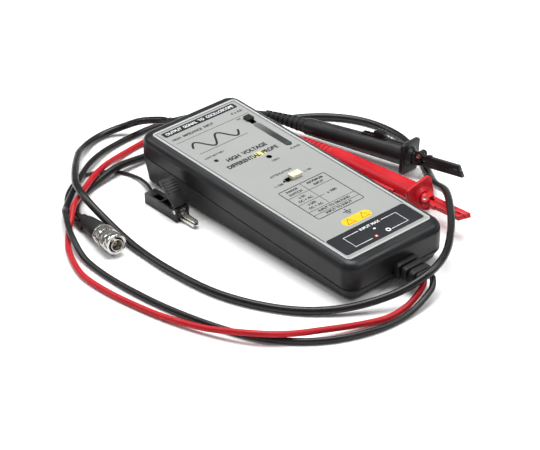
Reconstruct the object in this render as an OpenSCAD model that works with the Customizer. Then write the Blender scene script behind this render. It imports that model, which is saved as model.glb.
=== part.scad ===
// High-voltage differential oscilloscope probe: a wedge-shaped battery box with
// two sprung clip-on probes, a coaxial output lead with a BNC plug and a ground clip.
// Millimetres, +Z up. The origin is the middle of the box's footprint, on the
// surface that it rests on. +X points to the input end of the box.

/* [Case] */
// Length of the box
case_len = 202; // [196:1:204]
// Width of the box
case_wid = 83; // [82:1:86]
// Height of the top face at the output end
top_out = 37.5; // [36.5:0.5:39]
// Height of the top face at the input end
top_in = 28.5; // [28:0.5:30]
// Height of the parting line at the output end
part_out = 23.5; // [23:0.5:24]
// Height of the parting line at the input end
part_in = 10.5; // [10:0.5:11]
// Wall thickness of the shells
wall = 2.4; // [2.2:0.1:2.6]
// Radius of the upright corners
corner_r = 10; // [9:0.5:11]
// Radius of the soft shoulder round the top
shoulder_r = 6; // [5:0.5:6.5]
// Height of the rubber feet
foot_h = 1.5; // [1.2:0.1:1.8]

/* [Front label] */
// Length of the label
label_len = 186; // [180:1:187]
// Width of the label
label_wid = 72; // [70:1:73]
// Thickness of the label
label_t = 0.5; // [0.4:0.1:0.6]

/* [Switches] */
// Side of the square power knob
power_knob = 5.5; // [5:0.5:6]
// Travel of the power switch
power_travel = 4; // [3:0.5:4]
// Length of the range knob
range_knob_len = 8.5; // [8:0.5:9]
// Travel of the range switch
range_travel = 4; // [3:0.5:4]
// Height of the knobs above the label
knob_rise = 2.6; // [2:0.2:3]

/* [Probes] */
// Length of one clip-on probe
probe_len = 156; // [154:1:158]
// Side of the square finger guard
guard_side = 22; // [20:0.5:23]
// Travel of the thumb slider
thumb_travel = 8; // [6:1:8]

/* [Cords] */
// Diameter of the coaxial lead
coax_d = 5; // [4.8:0.1:5.2]
// Diameter of the two test leads
lead_d = 4; // [3.8:0.1:4.2]
// Diameter of the ground wire
wire_d = 2.2; // [2:0.1:2.4]

/* [Hidden] */

$fn = 48;
eps = 0.01;

half_len = case_len / 2;
half_wid = case_wid / 2;
top_mid = (top_out + top_in) / 2;
part_mid = (part_out + part_in) / 2;
top_tilt = atan((top_out - top_in) / case_len);
part_tilt = atan((part_out - part_in) / case_len);
floor_t = 3;
bottom_inset = 3;
groove = 0.5;
hull_fn = 32;

function top_z(x) = top_mid - x * tan(top_tilt);
function part_z(x) = part_mid - x * tan(part_tilt);

// places of the fittings on the top face: [x, y]
power_at = [-64.8, 26];
power_rest = -power_travel / 2;
power_stem = [3, 3.6];
power_slot = [power_stem[0] + power_travel + 1.4, 4.4];
range_at = [4, 0.2];
range_rest = range_travel / 2;
range_stem = [3.6, 6];
range_slot = [4.4, range_stem[1] + range_travel + 2];
led_at = [-29, 26];
status_at = [-42, -24];
trimmer_at = [-24, 5.5];

// the battery bay in the bottom shell
cell_d = 14.2;
cell_len = 49;
cell_pitch = 14.6;
bay_x = -63;
bay_len = 4 * cell_pitch + 0.6;
bay_half_wid = 27;
bay_top = 19.8;
door_x0 = -95;
door_x1 = -25;
door_half_wid = 28.5;
door_t = 2;
door_gap = 0.3;

screw_at = [[-90, 34], [-90, -34], [88, 31], [88, -31]];
foot_at = [[-77, 32], [-77, -32], [72, 29], [72, -29]];
foot_r = 3;
boss_r = 3.8;
board_drop = 11.5;
board_t = 1.6;

// glands
input_y = 4.5;
input_z = 11.5;
lead_gap = 7;
input_gland_len = 17;
output_y = 5;
output_z = 23;
output_gland_len = 23;
output_droop = 12;

// BNC plug: rear end of its boot, heading in degrees, nose-up tilt
bnc_at = [-83, -102, 4.4];
bnc_heading = -10;
bnc_tilt = 6;

// ground clip: rear end of its body, on the resting surface
clip_at = [-77.5, -50.8, 0];
clip_pivot = [31, 7.2];
clip_lean = 42;

// clip-on probes: rear end of the tail boot, heading, nose-up tilt, roll
red_at = [-62, 70, 5];
red_turn = [100, -3.9, -1];
black_at = [-99.5, 71.5, 9];
black_turn = [-10, -2, 14];
boot_len = 32;
guard_x = 113;
guard_t = 2.4;
nose_r = 4;
knob_x = 88;
rod_r = 2.4;
jaw_x = 123;
jaw_z = 3.4;
jaw_w = 3.4;

output_end = [-half_len - (output_gland_len + 0.1) * cos(output_droop), output_y,
    output_z - (output_gland_len + 0.1) * sin(output_droop)];

// routes of the cords: points along the centre line, from the case outwards
coax_route = [output_end, [-131, 4.5, 16.6], [-145, -2.2, 12.5], [-155.8, -8, 6.4],
    [-161.8, -24, 2.6], [-156, -42, 4], [-144, -58, 8], [-112, -85, 13.4], [-94, -92, 12.4],
    [-68, -94, 6.4], [-36, -96.4, 2.6], [2, -97, 2.6], [42, -91, 2.6], [78, -73, 2.6],
    [101, -50, 4], [117, -22, 9.5], [123, 1, 16.4], [118, 22, 19.6], [102, 44, 21.2], [84, 62, 22],
    [66, 77, 19], [44, 90, 10], [24, 105, 3.6], [2, 117, 2.6], [-26, 126, 2.6],
    [-58, 121, 2.6], [-84, 100, 2.6], [-102, 64, 2.6], [-114, 24, 2.6], [-118, -14, 3],
    [-118, -46, 5.1], [-113, -72, 2.6], [-105, -88, 2.6], [-91.2, -100.6, 3.6], [-83, -102, 4.4]];
black_route = [[half_len + input_gland_len + 0.1, input_y + lead_gap / 2, input_z],
    [122.5, 7.3, 11.1], [127.4, 0.6, 7.6], [131, -24, 2.1], [128, -52, 2.1], [115, -80, 2.1],
    [91, -103, 2.1], [56, -118, 2.1], [7, -128, 2.1], [-43, -129, 2.3], [-70, -121.5, 6.6], [-91, -110, 8.6],
    [-100, -103, 5.4], [-122, -75, 5], [-136, -53, 4.6], [-146, -26, 2.1], [-147, 16, 2.1],
    [-136, 47, 2.8], [-119, 64, 5.5], [-99.5, 71.5, 9]];
red_route = [[half_len + input_gland_len + 0.1, input_y - lead_gap / 2, input_z],
    [121.8, 0.4, 11.2], [124, -6.2, 7.3], [124.8, -18, 2.6], [124, -38, 2.1], [108, -82, 5.8], [99, -98, 6.9],
    [84, -111.5, 6.6], [58, -125, 3.6], [20, -136, 2.1], [-30, -141, 2.1], [-60, -131, 2.1],
    [-81, -115.5, 2.2], [-87.5, -108, 5], [-93.4, -101.6, 8.8], [-101, -91.5, 7.8],
    [-113, -72, 8], [-122, -54, 7.2], [-133, -28, 2.2], [-136, 4, 2.1], [-129, 28, 4],
    [-114, 47, 8], [-95, 60, 7.4], [-72, 70, 4.5], [-62, 70, 5]];
wire_route = [[-83.8, -106.2, 2.8], [-89.5, -104.8, 1.3], [-101, -100.5, 1.2], [-116, -90, 1.2],
    [-126, -76, 1.2], [-129, -60, 1.2], [-119, -45.4, 1.15], [-104.5, -40.6, 1.8],
    [-90, -43.4, 4], [-77.6, -48.8, 5.2]];

function unit(v) = v / norm(v);
function along(p, i) = unit(p[min(i + 1, len(p) - 1)] - p[max(i - 1, 0)]);
function ring(p, i, r, n, up) =
    let (t = along(p, i), s = unit(cross(t, up)), u = cross(s, t))
    [for (k = [0:n - 1]) p[i] + r * (cos(360 * k / n) * s + sin(360 * k / n) * u)];

// a closed tube swept along a route, with one ring at each of its points
module cord(p, d, n = 8, up = [0, 0, 1]) {
    m = len(p);
    points = [for (i = [0:m - 1]) each ring(p, i, d / 2, n, up)];
    ends = [[for (k = [n - 1:-1:0]) k], [for (k = [0:n - 1]) (m - 1) * n + k]];
    sides = [for (i = [0:m - 2], k = [0:n - 1], half = [0, 1])
        let (a = i * n + k, b = i * n + (k + 1) % n)
        half == 0 ? [a, b, b + n] : [a, b + n, a + n]];
    polyhedron(points, concat(ends, sides), convexity = 10);
}

// ---------- shapes and places shared by several parts ----------

// puts its children on the sloping top face, with z = 0 on that face
module on_top(at = [0, 0]) {
    translate([0, 0, top_mid]) rotate([0, top_tilt, 0]) translate([at[0], at[1], 0]) children();
}

// puts its children on the sloping parting plane
module on_parting() {
    translate([0, 0, part_mid]) rotate([0, part_tilt, 0]) children();
}

// everything above, or below, the parting plane
module above_parting(gap = 0) {
    on_parting() translate([-200, -200, gap]) cube([400, 400, 100]);
}
module below_parting(gap = 0) {
    on_parting() translate([-200, -200, -100 - gap]) cube([400, 400, 100]);
}

// the upper half as a solid: soft shoulder above upright walls; t shrinks it to its inside
module top_solid(t) {
    soft = shoulder_r - t;
    hull() {
        for (sx = [-1, 1], sy = [-1, 1]) {
            cx = sx * (half_len - corner_r);
            cy = sy * (half_wid - corner_r);
            translate([cx, cy, top_z(cx) - t]) rotate([0, top_tilt, 0])
                for (a = [0:18:90])
                    translate([0, 0, -soft * (1 - sin(a)) - eps])
                        cylinder(r = corner_r - t - soft * (1 - cos(a)), h = eps, $fn = hull_fn);
            translate([cx, cy, part_z(cx) - 6]) cylinder(r = corner_r - t, h = 1, $fn = hull_fn);
        }
    }
}

// the lower half as a solid, tapering down to the bottom with a rounded edge
module bottom_solid(t) {
    base = foot_h + (t > 0 ? floor_t : 0);
    edge = 3;
    hull() {
        for (sx = [-1, 1], sy = [-1, 1]) {
            cx = sx * (half_len - corner_r);
            cy = sy * (half_wid - corner_r);
            translate([cx, cy, part_z(cx) - 1]) cylinder(r = corner_r - t, h = 6, $fn = hull_fn);
            for (a = [0:30:90])
                translate([cx, cy, base + edge * (1 - cos(a))])
                    cylinder(r = corner_r - t - bottom_inset - edge * (1 - sin(a)), h = eps, $fn = hull_fn);
        }
    }
}

// a flat plate with round corners, standing on z = 0
module plate(size, r, h) {
    translate([-size[0] / 2 + r, -size[1] / 2, 0]) cube([size[0] - 2 * r, size[1], h]);
    translate([-size[0] / 2, -size[1] / 2 + r, 0]) cube([size[0], size[1] - 2 * r, h]);
    for (sx = [-1, 1], sy = [-1, 1])
        translate([sx * (size[0] / 2 - r), sy * (size[1] / 2 - r), 0]) cylinder(r = r, h = h);
}

// a slot for a slide knob, up from z = 0
module slot(size) {
    translate([-size[0] / 2, -size[1] / 2, 0]) cube([size[0], size[1], 9]);
}

// a plate that stands across the X axis, from x = 0 to h
module cross_plate(size, r, h) {
    rotate([90, 0, 90]) plate(size, r, h);
}

// a rod along +X from x0 to x1
module rod(r, x0, x1) {
    translate([x0, 0, 0]) rotate([0, 90, 0]) cylinder(r = r, h = x1 - x0);
}

// a turned shape along +X: pairs of [x, radius]
module turned(outline) {
    last = len(outline) - 1;
    rotate([0, 90, 0]) rotate([0, 0, 180]) rotate_extrude()
        polygon(concat([[0, outline[0][0]]], [for (p = outline) [p[1], p[0]]], [[0, outline[last][0]]]));
}

// a coil spring along +X, swept as one closed tube
module coil_spring(r, wire, length, turns, steps = 12) {
    n = turns * steps;
    path = [for (i = [0:n])
        [length * i / n, r * cos(360 * i / steps), r * sin(360 * i / steps)]];
    cord(path, wire, 6, [1, 0, 0]);
}

// ---------- openings cut through both shells ----------

module gland_openings() {
    translate([half_len - wall - 2, input_y, input_z]) cross_plate([16.4, 8.4], 2, wall + 6);
    translate([half_len - wall - 6, input_y, input_z]) cross_plate([19.6, 11.2], 2.6, 6);
    translate([0, output_y, output_z]) rod(3.7, -half_len - 4, -half_len + wall + 3);
    translate([0, output_y, output_z]) rod(5.3, -half_len + wall, -half_len + wall + 6);
}

module screw_holes(r) {
    for (at = screw_at) translate([at[0], at[1], -1]) cylinder(r = r, h = 60);
}

// ---------- case ----------

module top_shell() {
    color("#202124") difference() {
        union() {
            difference() {
                top_solid(0);
                top_solid(wall);
            }
            intersection() {
                top_solid(eps);
                for (at = screw_at) translate([at[0], at[1], 0]) cylinder(r = boss_r, h = 60);
            }
        }
        below_parting(-0.01);
        gland_openings();
        for (at = screw_at) translate([at[0], at[1], -1]) cylinder(r = 1.3, h = top_z(at[0]) - 4);
        on_top() translate([0, 0, -label_t + 0.1]) plate([label_len + 0.2, label_wid + 0.2], 3.1, 3);
        on_top(power_at) translate([0, 0, -6]) slot(power_slot);
        on_top(range_at) translate([0, 0, -6]) slot(range_slot);
        on_top(led_at) translate([0, 0, -6]) cylinder(r = 1.6, h = 8);
        on_top(status_at) translate([0, 0, -6]) cylinder(r = 1.6, h = 8);
        on_top(trimmer_at) translate([0, 0, -6]) cylinder(r = 2, h = 8);
    }
}

// a ring on the parting plane, from z0 to z1, with its outer face drawn in by inset
module lip_ring(inset, t, z0, z1) {
    on_parting() translate([0, 0, z0]) difference() {
        plate([case_len - 2 * inset, case_wid - 2 * inset], corner_r - inset, z1 - z0);
        translate([0, 0, -1]) plate([case_len - 2 * inset - 2 * t, case_wid - 2 * inset - 2 * t],
            corner_r - inset - t, z1 - z0 + 2);
    }
}

module bottom_shell() {
    bay_x0 = bay_x - bay_len / 2;
    color("#202124") difference() {
        union() {
            difference() {
                bottom_solid(0);
                bottom_solid(wall);
                above_parting(0.01 - groove);
            }
            lip_ring(wall - 0.6, 1.8, -2.4, -groove);
            lip_ring(wall + 0.15, 1.05, -groove - 0.6, 1.6);
            difference() {
                for (at = screw_at) translate([at[0], at[1], foot_h + 2]) cylinder(r = boss_r, h = 40);
                above_parting(0.01);
            }
            // the battery bay's walls and roof, and the boss of the door's screw
            translate([bay_x0 - 1.4, -bay_half_wid - 1.4, foot_h + 1])
                cube([bay_len + 2.8, 2 * bay_half_wid + 2.8, bay_top - foot_h - 1]);
            translate([-29, 0, foot_h + 1]) cylinder(r = 3.4, h = 7);
        }
        translate([bay_x0, -bay_half_wid, foot_h - 1]) cube([bay_len, 2 * bay_half_wid, bay_top - foot_h]);
        translate([door_x0 - door_gap, -door_half_wid - door_gap, foot_h - 1])
            cube([door_x1 - door_x0 + 2 * door_gap, 2 * (door_half_wid + door_gap), door_t + 1.1]);
        gland_openings();
        screw_holes(1.7);
        for (at = screw_at) translate([at[0], at[1], foot_h - 1]) cylinder(r = 3.1, h = 3.3);
        translate([-29, 0, foot_h]) cylinder(r = 1.1, h = 7);
        for (at = foot_at) translate([at[0], at[1], foot_h - 1]) cylinder(r = foot_r, h = 1.8);
    }
}

module front_label() {
    color("#b4b7b6") on_top() difference() {
        translate([0, 0, -label_t + 0.12]) plate([label_len, label_wid], 3, label_t);
        translate([power_at[0], power_at[1], -2]) slot(power_slot);
        translate([range_at[0], range_at[1], -2]) slot(range_slot);
        for (at = [led_at, status_at]) translate([at[0], at[1], -2]) cylinder(r = 1.6, h = 4);
        translate([trimmer_at[0], trimmer_at[1], -2]) cylinder(r = 2, h = 4);
    }
}

module battery_door() {
    color("#202124") difference() {
        union() {
            translate([door_x0, -door_half_wid, foot_h]) cube([door_x1 - door_x0, 2 * door_half_wid, door_t]);
            for (y = [-18:12:18]) translate([door_x0 + 6, y - 1, foot_h + door_t - eps])
                cube([40, 2, 0.8]);
        }
        translate([-29, 0, foot_h - 1]) cylinder(r = 1.4, h = 4);
        translate([-29, 0, foot_h - 1]) cylinder(r = 2.5, h = 2.1);
        for (x = [0:4]) translate([door_x0 + 6 + x * 3, -12, foot_h - 0.5]) cube([1.2, 24, 1]);
    }
}

module door_screw() {
    color("silver") translate([-29, 0, foot_h + 0.05]) difference() {
        union() {
            cylinder(r = 2.4, h = 1.05);
            cylinder(r = 1.05, h = 6);
        }
        for (a = [0, 90]) rotate([0, 0, a]) translate([-1.4, -0.3, -0.1]) cube([2.8, 0.6, 0.7]);
    }
}

module case_screws() {
    color("silver") for (at = screw_at) translate([at[0], at[1], foot_h + 0.2]) difference() {
        union() {
            cylinder(r = 2.8, h = 2);
            cylinder(r = 1.25, h = top_z(at[0]) - 10 - foot_h);
        }
        for (a = [0, 90]) rotate([0, 0, a]) translate([-1.7, -0.4, -0.1]) cube([3.4, 0.8, 1]);
    }
}

module rubber_feet() {
    color("#101010") for (at = foot_at) translate([at[0], at[1], 0]) {
        cylinder(r1 = foot_r - 0.5, r2 = foot_r - 0.1, h = 0.6);
        translate([0, 0, 0.6 - eps]) cylinder(r = foot_r - 0.1, h = foot_h + 0.2 - 0.6 + eps);
    }
}

// ---------- inside ----------

module battery_cells() {
    z = foot_h + door_t + 0.9 + cell_d / 2;
    color("#3c6e9c") for (i = [0:3]) {
        turn = i % 2 == 0 ? 90 : -90;
        translate([bay_x + (i - 1.5) * cell_pitch, 0, z]) rotate([0, 0, turn]) {
            rod(cell_d / 2, -cell_len / 2, cell_len / 2);
            rod(2.7, cell_len / 2 - eps, cell_len / 2 + 1);
        }
    }
}

module battery_contacts() {
    z = foot_h + door_t + 0.9 + cell_d / 2;
    color("silver") for (side = [-1, 1], i = [0:3]) {
        is_spring = (i % 2 == 0) == (side < 0);
        x = bay_x + (i - 1.5) * cell_pitch;
        translate([x - 4.5, side * (bay_half_wid - 0.3) - 0.2, z - 5]) cube([9, 0.4, 10]);
        if (is_spring) translate([x, side * (bay_half_wid - 0.5), z])
            rotate([side * 90, 0, 0]) cylinder(r1 = 4, r2 = 2.4, h = 1.8);
    }
}

module circuit_board() {
    color("#1f6b3a") on_board([0, 0]) translate([0, 0, -board_t]) difference() {
        plate([178, 66], 2, board_t);
        for (sy = [-1, 1]) translate([-96, sy * 36 - 10, -1]) cube([15, 20, 4]);
        for (sy = [-1, 1]) translate([82, sy * 32 - 8, -1]) cube([15, 16, 4]);
        translate([76, input_y - 10, -1]) cube([20, 20, 4]);
    }
}

module on_board(at) {
    on_top(at) translate([0, 0, -board_drop]) children();
}

module divider_resistors() {
    color("#4a78b0") for (sy = [-1, 1], i = [0:5])
        on_board([24 + i * 9, sy * 15 + 2]) translate([0, 0, 1.8]) {
            rod(1.5, -3.2, 3.2);
            rod(0.3, -4.2, 4.2);
            for (sx = [-1, 1]) translate([sx * 4.2, 0, -1.8]) cylinder(r = 0.3, h = 2.1);
        }
}

module shield_can() {
    color("#c9c9c4") on_board([-6, -20]) difference() {
        plate([40, 20], 1, 5.5);
        translate([0, 0, -1]) plate([39.2, 19.2], 0.6, 6);
        for (x = [-14:7:14]) translate([x, 0, 4]) cylinder(r = 1, h = 3);
    }
}

module amplifier_chips() {
    color("#1a1a1a") for (at = [[-66, -10], [-52, -10], [-66, 4], [-52, 4], [-8, 12]]) on_board(at) {
        translate([-2.5, -2, 0.2]) cube([5, 4, 1.5]);
        for (i = [-1.5:1:1.5], sy = [-1, 1])
            translate([i * 1.27 - 0.2, sy * 2.4 - 0.6, 0]) cube([0.4, 1.2, 0.5]);
    }
}

// a slide switch body on the board, under its slot; along gives its long side
module switch_body(at, size) {
    on_board(at) translate([-size[0] / 2, -size[1] / 2, 0]) difference() {
        cube([size[0], size[1], board_drop - wall - 0.5]);
        translate([0.8, 0.8, 4]) cube([size[0] - 1.6, size[1] - 1.6, 10]);
    }
}

module power_switch() {
    color("silver") switch_body(power_at, [14, 8]);
}
module range_switch() {
    color("silver") switch_body(range_at, [8, 18]);
}

// a slide knob: a stem that reaches into the switch, and a ribbed cap
module slide_knob(size, rise, stem, ribs_along_x) {
    translate([-stem[0] / 2, -stem[1] / 2, -6.5]) cube([stem[0], stem[1], 6.5 + 0.5]);
    difference() {
        translate([0, 0, 0.4]) plate(size, 0.6, rise);
        for (i = [-1:1]) translate(ribs_along_x ? [i * 1.5 - 0.3, -size[1], rise - 0.1]
            : [-size[0], i * 2.2 - 0.4, rise - 0.1])
            cube(ribs_along_x ? [0.6, 2 * size[1], 1] : [2 * size[0], 0.8, 1]);
    }
}

module power_knob() {
    color("#151515") on_top([power_at[0] + power_rest, power_at[1]])
        slide_knob([power_knob, power_knob], knob_rise - 0.8, power_stem, true);
}
module range_knob() {
    color("#ded9b8") on_top([range_at[0], range_at[1] + range_rest])
        slide_knob([5, range_knob_len], knob_rise, range_stem, false);
}

module round_led(at) {
    on_top(at) {
        translate([0, 0, -5]) cylinder(r = 1.5, h = 4.6);
        translate([0, 0, -0.4 - eps]) cylinder(r1 = 1.5, r2 = 1.1, h = 0.6);
        translate([0, 0, -board_drop + 0.1]) for (x = [-0.9, 0.9]) translate([x, 0, 0]) cylinder(r = 0.25, h = 7);
    }
}
module power_led() {
    color("#2a3a2c") round_led(led_at);
}
module status_led() {
    color("#7a2020") round_led(status_at);
}

module offset_trimmer() {
    color("#2d5fa8") on_board(trimmer_at) difference() {
        translate([-3.5, -3.5, 0]) cube([7, 7, 5]);
        translate([0, 0, 1.5]) cylinder(r = 1.75, h = 6);
    }
}
module trimmer_rotor() {
    color("#d8c070") on_board(trimmer_at) difference() {
        translate([0, 0, 1.7]) cylinder(r = 1.7, h = 3.8);
        translate([-1.2, -0.3, 4.7]) cube([2.4, 0.6, 2]);
    }
}

// ---------- glands ----------

module input_gland() {
    rib = [[0, 19, 10.6], [5.6, 17.8, 9.6], [11.2, 16.4, 8.6]];
    color("#1a1a1b") translate([half_len, input_y, input_z]) {
        translate([-wall - 1.6, 0, 0]) cross_plate([19, 10.6], 2.4, 1.4);
        translate([-wall - 0.4, 0, 0]) cross_plate([16, 8], 1.9, wall + 0.5);
        for (r = rib) translate([r[0] + 0.05, 0, 0]) cross_plate([r[1], r[2]], 2.6, 4);
        cross_plate([13, 6.4], 3, input_gland_len);
    }
}

module output_gland() {
    color("#1a1a1b") translate([-half_len, output_y, output_z]) mirror([1, 0, 0]) {
        turned([[-4, 5], [-2.7, 5], [-2.7, 3.55], [0.4, 3.55], [0.4, 6.6], [2.2, 6.5]]);
        rotate([0, output_droop, 0]) turned([[1.4, 4.4], [3.4, 4.4], [3.4, 5.9], [6.4, 5.6], [6.4, 4],
            [8, 4], [8, 5.2], [11, 4.9], [11, 3.7], [12.6, 3.7], [12.6, 4.5], [15.6, 4.2], [15.6, 3.4],
            [17.2, 3.4], [17.2, 3.8], [output_gland_len, 3.1]]);
    }
}

module coax_cord() {
    color("#161616") cord(coax_route, coax_d);
}
module black_lead() {
    color("#19191b") cord(black_route, lead_d);
}
module red_lead() {
    color("#b3141c") cord(red_route, lead_d);
}
module ground_wire() {
    color("#141414") cord(wire_route, wire_d);
}

// ---------- BNC plug ----------

module on_bnc() {
    translate(bnc_at) rotate([0, 0, bnc_heading]) rotate([0, -bnc_tilt, 0]) children();
}

module bnc_boot() {
    color("#1b1b1b") on_bnc() difference() {
        union() {
            turned([[0.05, 3.7], [1.4, 3.7], [1.4, 3.3], [2.6, 3.3], [2.6, 3.9], [4, 3.9], [4, 3.6],
                [5, 3.6], [5, 4.6], [9, 5.3], [19, 6.2], [24, 6.2], [24.6, 5.8]]);
            translate([0.05, -4.3, -1.6]) rod(1.6, 0, 7);
        }
        rod(4.15, 11, 25);
    }
}

module bnc_body() {
    color("#c8c8c6") on_bnc() difference() {
        turned([[11.5, 4.1], [24.7, 4.1], [24.7, 6.4], [26.2, 6.4], [26.2, 5.4], [27, 4.6],
            [28, 4.6], [28, 4.88], [31, 4.88], [31, 4.05], [45.5, 4.05]]);
        rod(3.5, 32, 46);
        rod(2, 10, 33);
    }
}

module bnc_insulator() {
    color("#f0efe8") on_bnc() difference() {
        union() {
            rod(1.95, 26, 32.2);
            rod(3.45, 32.1, 36);
            rod(2.4, 36 - eps, 41);
        }
        rod(0.75, 25, 42);
    }
}

module bnc_pin() {
    color("#d2a94a") on_bnc() turned([[20, 0.7], [42.6, 0.7], [44, 0.25]]);
}

module bnc_nut() {
    color("#cfcfcd") on_bnc() difference() {
        turned([[27.2, 6.4], [27.9, 7.2], [33.5, 7.2], [33.5, 6.7], [35, 6.7], [35, 7], [44, 7], [44.5, 6.7]]);
        rod(4.93, 25, 31.3);
        rod(5.2, 31.2, 46);
        for (a = [0, 180], i = [0:4])
            rotate([a + 20 * i, 0, 0]) translate([43.2 - 1.2 * i, 0, 3]) cylinder(r = 1.15, h = 6, $fn = 24);
        for (a = [0:15:345]) rotate([a, 0, 0]) translate([27.6, -0.25, 7]) cube([5.4, 0.5, 1]);
    }
}

// ---------- ground clip ----------

module on_clip() {
    translate(clip_at) children();
}

module clip_wedge(x0, x1, w0, w1, h) {
    linear_extrude(h) polygon([[x0, -w0 / 2], [x1, -w1 / 2], [x1, w1 / 2], [x0, w0 / 2]]);
}

module clip_body() {
    color("#2a2a2b") on_clip() difference() {
        union() {
            translate([0, 0, 0.1]) clip_wedge(0, 33, 9.2, 10.4, 7.4);
            for (side = [-1, 1]) translate([clip_pivot[0] - 3.4, side * 4.4 - 0.8, 5])
                cube([5.4, 1.6, 3.2]);
            for (side = [-1, 1]) translate([clip_pivot[0], side * 4.4 + 0.8, clip_pivot[1]])
                rotate([90, 0, 0]) cylinder(r = 2.3, h = 1.6);
        }
        translate([2, 0, 1.4]) clip_wedge(0, 40, 6.6, 7, 4.4);
        translate([-1, 2, 5.2]) rod(1.25, 0, 5);
        translate([6.5, -3.4, 4]) cube([7.5, 4.8, 5]);
        translate([15.8, -3.5, 4]) cube([20, 7, 5]);
        translate([clip_pivot[0], 10, clip_pivot[1]]) rotate([90, 0, 0]) cylinder(r = 0.85, h = 20);
    }
}

// a row of teeth along +X, standing on z = 0
module teeth(n, pitch, w, h) {
    for (i = [0:n - 1]) translate([i * pitch, w / 2, 0]) rotate([90, 0, 0])
        linear_extrude(w) polygon([[0, -0.1], [pitch, -0.1], [pitch / 2, h]]);
}

module clip_jaw() {
    color("#c9c6bf") on_clip() {
        translate([18, 0, 1.6]) clip_wedge(0, 28, 5.6, 4.4, 0.8);
        for (side = [-1, 1]) translate([34, side * 1.9 - 0.3, 1.6]) cube([12, 0.6, 1.8]);
        translate([35, 0, 2.3]) teeth(6, 1.8, 2.6, 1);
    }
}

module clip_lever() {
    color("#1d1d1e") on_clip() translate([clip_pivot[0], 0, clip_pivot[1]]) rotate([0, clip_lean, 0])
        difference() {
            union() {
                translate([-22, -5.5, 1.8]) cube([20, 11, 2]);
                for (i = [0:4]) translate([-20.5 + i * 2, -5, 3.7]) cube([0.9, 10, 0.6]);
                for (side = [-1, 1]) translate([-12, side * 2.6 - 0.7, -0.5]) cube([12, 1.4, 2.6]);
                for (side = [-1, 1]) translate([0, side * 2.6 + 0.7, 0]) rotate([90, 0, 0])
                    cylinder(r = 2, h = 1.4);
            }
            translate([0, 10, 0]) rotate([90, 0, 0]) cylinder(r = 0.85, h = 20);
        }
}

module clip_lever_jaw() {
    color("#c9c6bf") on_clip() difference() {
        union() {
            translate([clip_pivot[0], -1.8, clip_pivot[1] - 1.7]) cube([4, 3.6, 1]);
            translate([clip_pivot[0] + 3, -1.8, 4.6]) cube([1, 3.6, 1.9]);
            translate([clip_pivot[0] + 3, 0, 4.3]) clip_wedge(0, 12, 4.2, 3.4, 0.8);
            translate([35.9, 0, 4.4]) mirror([0, 0, 1]) teeth(6, 1.8, 2.6, 0.9);
            for (side = [-1, 1]) translate([clip_pivot[0] - 1.2, side * 1.5 - 0.3, clip_pivot[1] - 1.7])
                cube([3.6, 0.6, 3]);
        }
        translate([clip_pivot[0], 10, clip_pivot[1]]) rotate([90, 0, 0]) cylinder(r = 0.85, h = 20);
    }
}

module clip_pin() {
    color("#b9b9b6") on_clip() translate([clip_pivot[0], 0, clip_pivot[1]]) rotate([90, 0, 0])
        translate([0, 0, -5.8]) {
            cylinder(r = 0.8, h = 11.6);
            cylinder(r = 1.4, h = 0.5);
            translate([0, 0, 11.1]) cylinder(r = 1.4, h = 0.5);
        }
}

module clip_spring() {
    color("#9a9a98") on_clip() translate([clip_pivot[0] - 7.5, 0, 6.4]) rotate([0, -90, 0])
        coil_spring(1.5, 0.5, 7.4, 5);
}

// ---------- clip-on probes: x runs from the tail to the tip ----------

module on_probe(at, turn) {
    translate(at) rotate([0, 0, turn[2]]) rotate([0, turn[1], 0]) rotate([turn[0], 0, 0]) children();
}

module probe_tail_boot() {
    turned(concat([[0.05, 2.9]],
        [for (i = [0:6]) each let (x = 1 + i * 4, r = 3 + i * 0.3)
            [[x, r], [x + 2.4, r + 0.24], [x + 2.4, r - 0.5], [x + 3.6, r - 0.4]]],
        [[29, 4.9], [boot_len - 0.05, 5.1]]));
}

module probe_barrel() {
    difference() {
        union() {
            turned([[boot_len, 5.1], [boot_len + 2, 5.8], [44, 6.2], [80, 6.9], [guard_x - 2, 7.5],
                [guard_x - 0.05, 7.6]]);
            // the raised rail that the thumb slider runs in
            translate([knob_x - thumb_travel - 2.5, -2.6, 4]) cube([20, 5.2, 4.1]);
            translate([knob_x, -1.2, 4]) cube([guard_x - knob_x - 1, 2.4, 4.1]);
        }
        rod(4, boot_len + 2.6, guard_x + 1);
        translate([knob_x - thumb_travel - 1, -1.7, 0]) cube([thumb_travel + 8, 3.4, 12]);
    }
}

module probe_guard() {
    difference() {
        union() {
            translate([guard_x, 0, 0]) cross_plate([guard_side, guard_side], 3, guard_t);
            turned([[guard_x + guard_t - eps, 7.2], [guard_x + guard_t + 2.6, 5.2]]);
        }
        rod(nose_r + 0.1, guard_x - 1, guard_x + 8);
    }
}

module probe_thumb_slider() {
    rod(rod_r, 62, jaw_x - 5);
    translate([knob_x, -1.5, 1.5]) cube([6, 3, 7.4]);
    translate([knob_x - 1, -3, 8.5]) cube([8, 6, 2.6]);
    for (i = [0:2]) translate([knob_x + i * 2.4, -3, 11]) cube([1.1, 6, 0.8]);
}

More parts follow.
